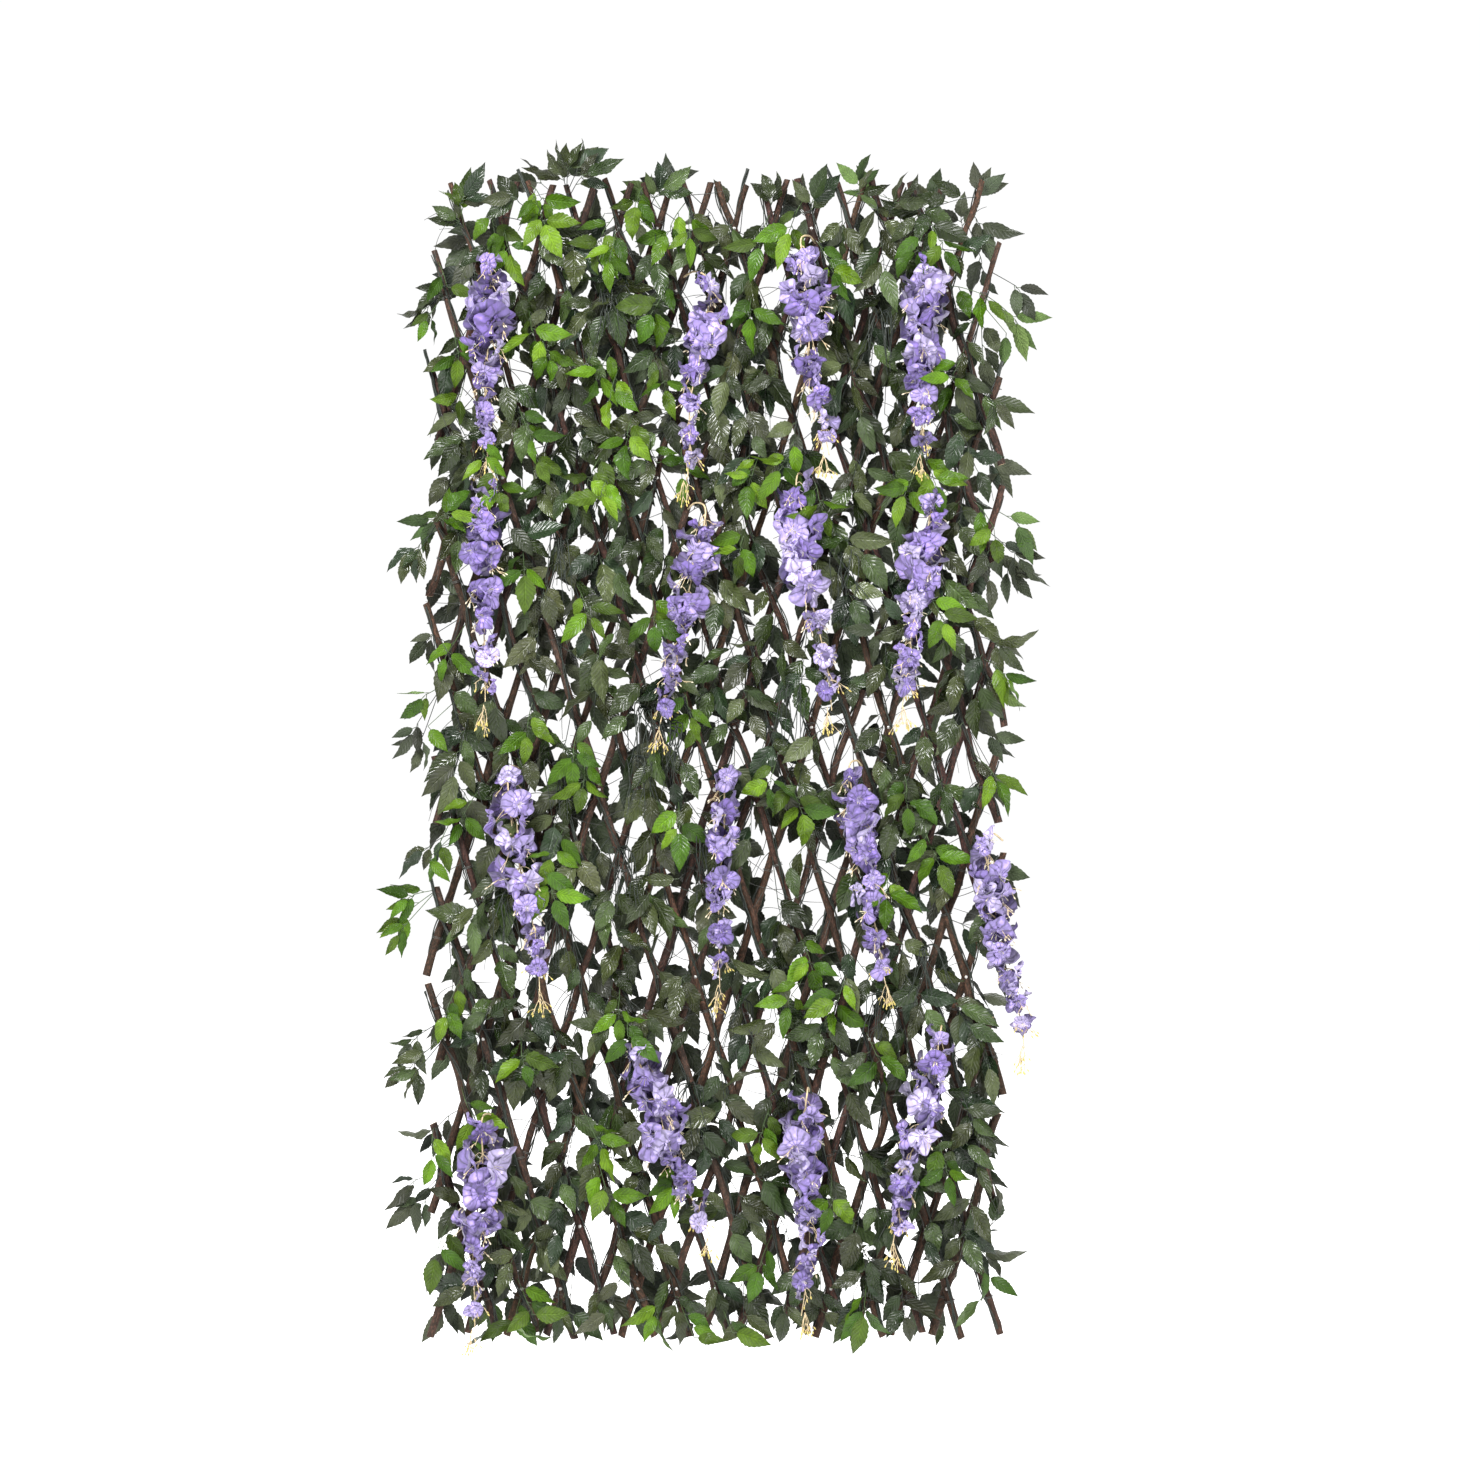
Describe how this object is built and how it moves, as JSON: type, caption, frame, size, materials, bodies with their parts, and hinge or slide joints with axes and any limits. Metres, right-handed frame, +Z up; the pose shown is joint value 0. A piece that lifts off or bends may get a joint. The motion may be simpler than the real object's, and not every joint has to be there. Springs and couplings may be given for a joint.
{
  "type": "artificial wisteria trellis screen",
  "caption": "Expanding willow lattice screen dressed with artificial leafy vines and hanging violet wisteria; it folds flat or pulls out wider on its nailed crossings.",
  "frame": {"origin": "the rivet at the middle crossing, on the plane where the two layers of rods meet", "axes": "+Z up along the screen's height, +X to the right along its width, +Y away from the viewer, out of the back"},
  "size_m": [1.1069, 0.1632, 2.1063],
  "materials": {
    "willow": "rough reddish-brown bark",
    "nail": "dull zinc-coated steel",
    "leaf": "printed pressed fabric leaf, dull",
    "blossom": "dyed pressed fabric petals"
  },
  "bodies": {
    "centre_rivet": {"centre_rivet": "nail"},
    "front_rod_01": {"front_rod_01": "willow"},
    "front_rod_02": {"front_rod_02": "willow"},
    "front_rod_03": {"front_rod_03": "willow", "front_vine_03": "leaf"},
    "front_rod_04": {"front_rod_04": "willow"},
    "front_rod_05": {"front_rod_05": "willow"},
    "front_rod_06": {"front_rod_06": "willow"},
    "front_rod_07": {"front_rod_07": "willow", "front_vine_07": "leaf"},
    "front_rod_08": {"front_rod_08": "willow"},
    "front_rod_09": {"front_rod_09": "willow"},
    "front_rod_10": {"front_rod_10": "willow"},
    "front_rod_11": {"front_rod_11": "willow", "front_vine_11": "leaf", "wisteria_spray_08": "blossom"},
    "front_rod_12": {"front_rod_12": "willow"},
    "front_rod_13": {"front_rod_13": "willow"},
    "front_rod_14": {"front_rod_14": "willow"},
    "front_rod_15": {"front_rod_15": "willow", "front_vine_15": "leaf", "wisteria_spray_09": "blossom"},
    "front_rod_16": {"front_rod_16": "willow"},
    "front_rod_17": {"front_rod_17": "willow"},
    "front_rod_18": {"front_rod_18": "willow", "wisteria_spray_10": "blossom"},
    "front_rod_19": {"front_rod_19": "willow", "front_vine_19": "leaf"},
    "front_rod_20": {"front_rod_20": "willow"},
    "front_rod_21": {"front_rod_21": "willow"},
    "back_rod_01": {"back_rod_01": "willow", "wisteria_spray_01": "blossom"},
    "back_rod_02": {"back_rod_02": "willow"},
    "back_rod_03": {"back_rod_03": "willow", "wisteria_spray_02": "blossom"},
    "back_rod_04": {"back_rod_04": "willow"},
    "back_rod_05": {"back_rod_05": "willow"},
    "back_rod_06": {"back_rod_06": "willow", "wisteria_spray_03": "blossom"},
    "back_rod_07": {"back_rod_07": "willow", "back_vine_07": "leaf"},
    "back_rod_08": {"back_rod_08": "willow", "wisteria_spray_04": "blossom"},
    "back_rod_09": {"back_rod_09": "willow"},
    "back_rod_10": {"back_rod_10": "willow"},
    "back_rod_11": {"back_rod_11": "willow", "wisteria_spray_05": "blossom"},
    "back_rod_12": {"back_rod_12": "willow", "wisteria_spray_06": "blossom"},
    "back_rod_13": {"back_rod_13": "willow"},
    "back_rod_14": {"back_rod_14": "willow", "wisteria_spray_07": "blossom"},
    "back_rod_15": {"back_rod_15": "willow", "back_vine_15": "leaf"},
    "back_rod_16": {"back_rod_16": "willow"},
    "back_rod_17": {"back_rod_17": "willow"},
    "back_rod_18": {"back_rod_18": "willow"},
    "back_rod_19": {"back_rod_19": "willow"},
    "back_rod_20": {"back_rod_20": "willow"},
    "back_rod_21": {"back_rod_21": "willow"}
  },
  "joints": [
    {"name": "lattice_fold", "type": "hinge", "parent": "centre_rivet", "child": "front_rod_11", "pos_m": [0, 0, 0], "axis": [0, -1, 0], "range_deg": [-11, 22.8], "deforming": ["front_vine_03", "front_vine_07", "front_vine_11", "wisteria_spray_08", "front_vine_15", "wisteria_spray_09", "wisteria_spray_10", "front_vine_19", "wisteria_spray_01", "wisteria_spray_02", "wisteria_spray_03", "back_vine_07", "wisteria_spray_04", "wisteria_spray_05", "wisteria_spray_06", "wisteria_spray_07", "back_vine_15"]},
    {"name": "back_middle_turn", "type": "hinge", "parent": "centre_rivet", "child": "back_rod_11", "pos_m": [0, 0, 0], "axis": [0, -1, 0], "range_deg": [-22.8, 11]},
    {"name": "back_rod_10_turn", "type": "hinge", "parent": "front_rod_11", "child": "back_rod_10", "pos_m": [-0.0335, 0, 0.10823], "axis": [0, -1, 0], "range_deg": [-45.6, 22]},
    {"name": "back_rod_14_turn", "type": "hinge", "parent": "front_rod_11", "child": "back_rod_14", "pos_m": [0.10051, 0, -0.3247], "axis": [0, -1, 0], "range_deg": [-45.6, 22]},
    {"name": "back_rod_15_turn", "type": "hinge", "parent": "front_rod_11", "child": "back_rod_15", "pos_m": [0.13401, 0, -0.43293], "axis": [0, -1, 0], "range_deg": [-45.6, 22]},
    {"name": "back_rod_07_turn", "type": "hinge", "parent": "front_rod_11", "child": "back_rod_07", "pos_m": [-0.13401, 0, 0.43293], "axis": [0, -1, 0], "range_deg": [-45.6, 22]},
    {"name": "back_rod_06_turn", "type": "hinge", "parent": "front_rod_11", "child": "back_rod_06", "pos_m": [-0.16752, 0, 0.54117], "axis": [0, -1, 0], "range_deg": [-45.6, 22]},
    {"name": "back_rod_18_turn", "type": "hinge", "parent": "front_rod_11", "child": "back_rod_18", "pos_m": [0.23453, 0, -0.75763], "axis": [0, -1, 0], "range_deg": [-45.6, 22]},
    {"name": "back_rod_19_turn", "type": "hinge", "parent": "front_rod_11", "child": "back_rod_19", "pos_m": [0.26803, 0, -0.86586], "axis": [0, -1, 0], "range_deg": [-45.6, 22]},
    {"name": "back_rod_03_turn", "type": "hinge", "parent": "front_rod_11", "child": "back_rod_03", "pos_m": [-0.26803, 0, 0.86586], "axis": [0, -1, 0], "range_deg": [-45.6, 22]},
    {"name": "back_rod_02_turn", "type": "hinge", "parent": "front_rod_11", "child": "back_rod_02", "pos_m": [-0.30153, 0, 0.9741], "axis": [0, -1, 0], "range_deg": [-45.6, 22]},
    {"name": "front_rod_12_turn", "type": "hinge", "parent": "back_rod_11", "child": "front_rod_12", "pos_m": [0.0335, 0, 0.10823], "axis": [0, -1, 0], "range_deg": [-22, 45.6]},
    {"name": "front_rod_08_turn", "type": "hinge", "parent": "back_rod_11", "child": "front_rod_08", "pos_m": [-0.10051, 0, -0.3247], "axis": [0, -1, 0], "range_deg": [-22, 45.6]},
    {"name": "front_rod_07_turn", "type": "hinge", "parent": "back_rod_11", "child": "front_rod_07", "pos_m": [-0.13401, 0, -0.43293], "axis": [0, -1, 0], "range_deg": [-22, 45.6]},
    {"name": "front_rod_15_turn", "type": "hinge", "parent": "back_rod_11", "child": "front_rod_15", "pos_m": [0.13401, 0, 0.43293], "axis": [0, -1, 0], "range_deg": [-22, 45.6]},
    {"name": "front_rod_16_turn", "type": "hinge", "parent": "back_rod_11", "child": "front_rod_16", "pos_m": [0.16752, 0, 0.54117], "axis": [0, -1, 0], "range_deg": [-22, 45.6]},
    {"name": "front_rod_04_turn", "type": "hinge", "parent": "back_rod_11", "child": "front_rod_04", "pos_m": [-0.23453, 0, -0.75763], "axis": [0, -1, 0], "range_deg": [-22, 45.6]},
    {"name": "front_rod_03_turn", "type": "hinge", "parent": "back_rod_11", "child": "front_rod_03", "pos_m": [-0.26803, 0, -0.86586], "axis": [0, -1, 0], "range_deg": [-22, 45.6]},
    {"name": "front_rod_19_turn", "type": "hinge", "parent": "back_rod_11", "child": "front_rod_19", "pos_m": [0.26803, 0, 0.86586], "axis": [0, -1, 0], "range_deg": [-22, 45.6]},
    {"name": "front_rod_20_turn", "type": "hinge", "parent": "back_rod_11", "child": "front_rod_20", "pos_m": [0.30153, 0, 0.9741], "axis": [0, -1, 0], "range_deg": [-22, 45.6]},
    {"name": "front_rod_10_turn", "type": "hinge", "parent": "back_rod_10", "child": "front_rod_10", "pos_m": [-0.06701, 0, 0], "axis": [0, -1, 0], "range_deg": [-22, 45.6]},
    {"name": "front_rod_06_turn", "type": "hinge", "parent": "back_rod_10", "child": "front_rod_06", "pos_m": [-0.20102, 0, -0.43293], "axis": [0, -1, 0], "range_deg": [-22, 45.6]},
    {"name": "front_rod_14_turn", "type": "hinge", "parent": "back_rod_10", "child": "front_rod_14", "pos_m": [0.06701, 0, 0.43293], "axis": [0, -1, 0], "range_deg": [-22, 45.6]},
    {"name": "front_rod_02_turn", "type": "hinge", "parent": "back_rod_10", "child": "front_rod_02", "pos_m": [-0.33504, 0, -0.86586], "axis": [0, -1, 0], "range_deg": [-22, 45.6]},
    {"name": "front_rod_18_turn", "type": "hinge", "parent": "back_rod_10", "child": "front_rod_18", "pos_m": [0.20102, 0, 0.86586], "axis": [0, -1, 0], "range_deg": [-22, 45.6]},
    {"name": "back_rod_12_turn", "type": "hinge", "parent": "front_rod_12", "child": "back_rod_12", "pos_m": [0.06701, 0, 0], "axis": [0, -1, 0], "range_deg": [-45.6, 22]},
    {"name": "back_rod_16_turn", "type": "hinge", "parent": "front_rod_12", "child": "back_rod_16", "pos_m": [0.20102, 0, -0.43293], "axis": [0, -1, 0], "range_deg": [-45.6, 22]},
    {"name": "back_rod_08_turn", "type": "hinge", "parent": "front_rod_12", "child": "back_rod_08", "pos_m": [-0.06701, 0, 0.43293], "axis": [0, -1, 0], "range_deg": [-45.6, 22]},
    {"name": "back_rod_20_turn", "type": "hinge", "parent": "front_rod_12", "child": "back_rod_20", "pos_m": [0.33504, 0, -0.86586], "axis": [0, -1, 0], "range_deg": [-45.6, 22]},
    {"name": "back_rod_04_turn", "type": "hinge", "parent": "front_rod_12", "child": "back_rod_04", "pos_m": [-0.20102, 0, 0.86586], "axis": [0, -1, 0], "range_deg": [-45.6, 22]},
    {"name": "back_rod_09_turn", "type": "hinge", "parent": "front_rod_10", "child": "back_rod_09", "pos_m": [-0.10051, 0, 0.10823], "axis": [0, -1, 0], "range_deg": [-45.6, 22]},
    {"name": "back_rod_13_turn", "type": "hinge", "parent": "front_rod_10", "child": "back_rod_13", "pos_m": [0.0335, 0, -0.3247], "axis": [0, -1, 0], "range_deg": [-45.6, 22]},
    {"name": "back_rod_05_turn", "type": "hinge", "parent": "front_rod_10", "child": "back_rod_05", "pos_m": [-0.23453, 0, 0.54117], "axis": [0, -1, 0], "range_deg": [-45.6, 22]},
    {"name": "back_rod_17_turn", "type": "hinge", "parent": "front_rod_10", "child": "back_rod_17", "pos_m": [0.16752, 0, -0.75763], "axis": [0, -1, 0], "range_deg": [-45.6, 22]},
    {"name": "back_rod_01_turn", "type": "hinge", "parent": "front_rod_10", "child": "back_rod_01", "pos_m": [-0.36854, 0, 0.9741], "axis": [0, -1, 0], "range_deg": [-45.6, 22]},
    {"name": "back_rod_21_turn", "type": "hinge", "parent": "front_rod_14", "child": "back_rod_21", "pos_m": [0.43555, 0, -0.75763], "axis": [0, -1, 0], "range_deg": [-45.6, 22]},
    {"name": "front_rod_13_turn", "type": "hinge", "parent": "back_rod_12", "child": "front_rod_13", "pos_m": [0.10051, 0, 0.10823], "axis": [0, -1, 0], "range_deg": [-22, 45.6]},
    {"name": "front_rod_09_turn", "type": "hinge", "parent": "back_rod_12", "child": "front_rod_09", "pos_m": [-0.0335, 0, -0.3247], "axis": [0, -1, 0], "range_deg": [-22, 45.6]},
    {"name": "front_rod_17_turn", "type": "hinge", "parent": "back_rod_12", "child": "front_rod_17", "pos_m": [0.23453, 0, 0.54117], "axis": [0, -1, 0], "range_deg": [-22, 45.6]},
    {"name": "front_rod_05_turn", "type": "hinge", "parent": "back_rod_12", "child": "front_rod_05", "pos_m": [-0.16752, 0, -0.75763], "axis": [0, -1, 0], "range_deg": [-22, 45.6]},
    {"name": "front_rod_21_turn", "type": "hinge", "parent": "back_rod_12", "child": "front_rod_21", "pos_m": [0.36854, 0, 0.9741], "axis": [0, -1, 0], "range_deg": [-22, 45.6]},
    {"name": "front_rod_01_turn", "type": "hinge", "parent": "back_rod_08", "child": "front_rod_01", "pos_m": [-0.43555, 0, -0.75763], "axis": [0, -1, 0], "range_deg": [-22, 45.6]}
  ],
  "couplings": [
    {"joint": "back_middle_turn", "follows": "lattice_fold", "ratio": -1},
    {"joint": "back_rod_10_turn", "follows": "lattice_fold", "ratio": -2},
    {"joint": "back_rod_14_turn", "follows": "lattice_fold", "ratio": -2},
    {"joint": "back_rod_15_turn", "follows": "lattice_fold", "ratio": -2},
    {"joint": "back_rod_07_turn", "follows": "lattice_fold", "ratio": -2},
    {"joint": "back_rod_06_turn", "follows": "lattice_fold", "ratio": -2},
    {"joint": "back_rod_18_turn", "follows": "lattice_fold", "ratio": -2},
    {"joint": "back_rod_19_turn", "follows": "lattice_fold", "ratio": -2},
    {"joint": "back_rod_03_turn", "follows": "lattice_fold", "ratio": -2},
    {"joint": "back_rod_02_turn", "follows": "lattice_fold", "ratio": -2},
    {"joint": "front_rod_12_turn", "follows": "lattice_fold", "ratio": 2},
    {"joint": "front_rod_08_turn", "follows": "lattice_fold", "ratio": 2},
    {"joint": "front_rod_07_turn", "follows": "lattice_fold", "ratio": 2},
    {"joint": "front_rod_15_turn", "follows": "lattice_fold", "ratio": 2},
    {"joint": "front_rod_16_turn", "follows": "lattice_fold", "ratio": 2},
    {"joint": "front_rod_04_turn", "follows": "lattice_fold", "ratio": 2},
    {"joint": "front_rod_03_turn", "follows": "lattice_fold", "ratio": 2},
    {"joint": "front_rod_19_turn", "follows": "lattice_fold", "ratio": 2},
    {"joint": "front_rod_20_turn", "follows": "lattice_fold", "ratio": 2},
    {"joint": "front_rod_10_turn", "follows": "lattice_fold", "ratio": 2},
    {"joint": "front_rod_06_turn", "follows": "lattice_fold", "ratio": 2},
    {"joint": "front_rod_14_turn", "follows": "lattice_fold", "ratio": 2},
    {"joint": "front_rod_02_turn", "follows": "lattice_fold", "ratio": 2},
    {"joint": "front_rod_18_turn", "follows": "lattice_fold", "ratio": 2},
    {"joint": "back_rod_12_turn", "follows": "lattice_fold", "ratio": -2},
    {"joint": "back_rod_16_turn", "follows": "lattice_fold", "ratio": -2},
    {"joint": "back_rod_08_turn", "follows": "lattice_fold", "ratio": -2},
    {"joint": "back_rod_20_turn", "follows": "lattice_fold", "ratio": -2},
    {"joint": "back_rod_04_turn", "follows": "lattice_fold", "ratio": -2},
    {"joint": "back_rod_09_turn", "follows": "lattice_fold", "ratio": -2},
    {"joint": "back_rod_13_turn", "follows": "lattice_fold", "ratio": -2},
    {"joint": "back_rod_05_turn", "follows": "lattice_fold", "ratio": -2},
    {"joint": "back_rod_17_turn", "follows": "lattice_fold", "ratio": -2},
    {"joint": "back_rod_01_turn", "follows": "lattice_fold", "ratio": -2},
    {"joint": "back_rod_21_turn", "follows": "lattice_fold", "ratio": -2},
    {"joint": "front_rod_13_turn", "follows": "lattice_fold", "ratio": 2},
    {"joint": "front_rod_09_turn", "follows": "lattice_fold", "ratio": 2},
    {"joint": "front_rod_17_turn", "follows": "lattice_fold", "ratio": 2},
    {"joint": "front_rod_05_turn", "follows": "lattice_fold", "ratio": 2},
    {"joint": "front_rod_21_turn", "follows": "lattice_fold", "ratio": 2},
    {"joint": "front_rod_01_turn", "follows": "lattice_fold", "ratio": 2}
  ]
}
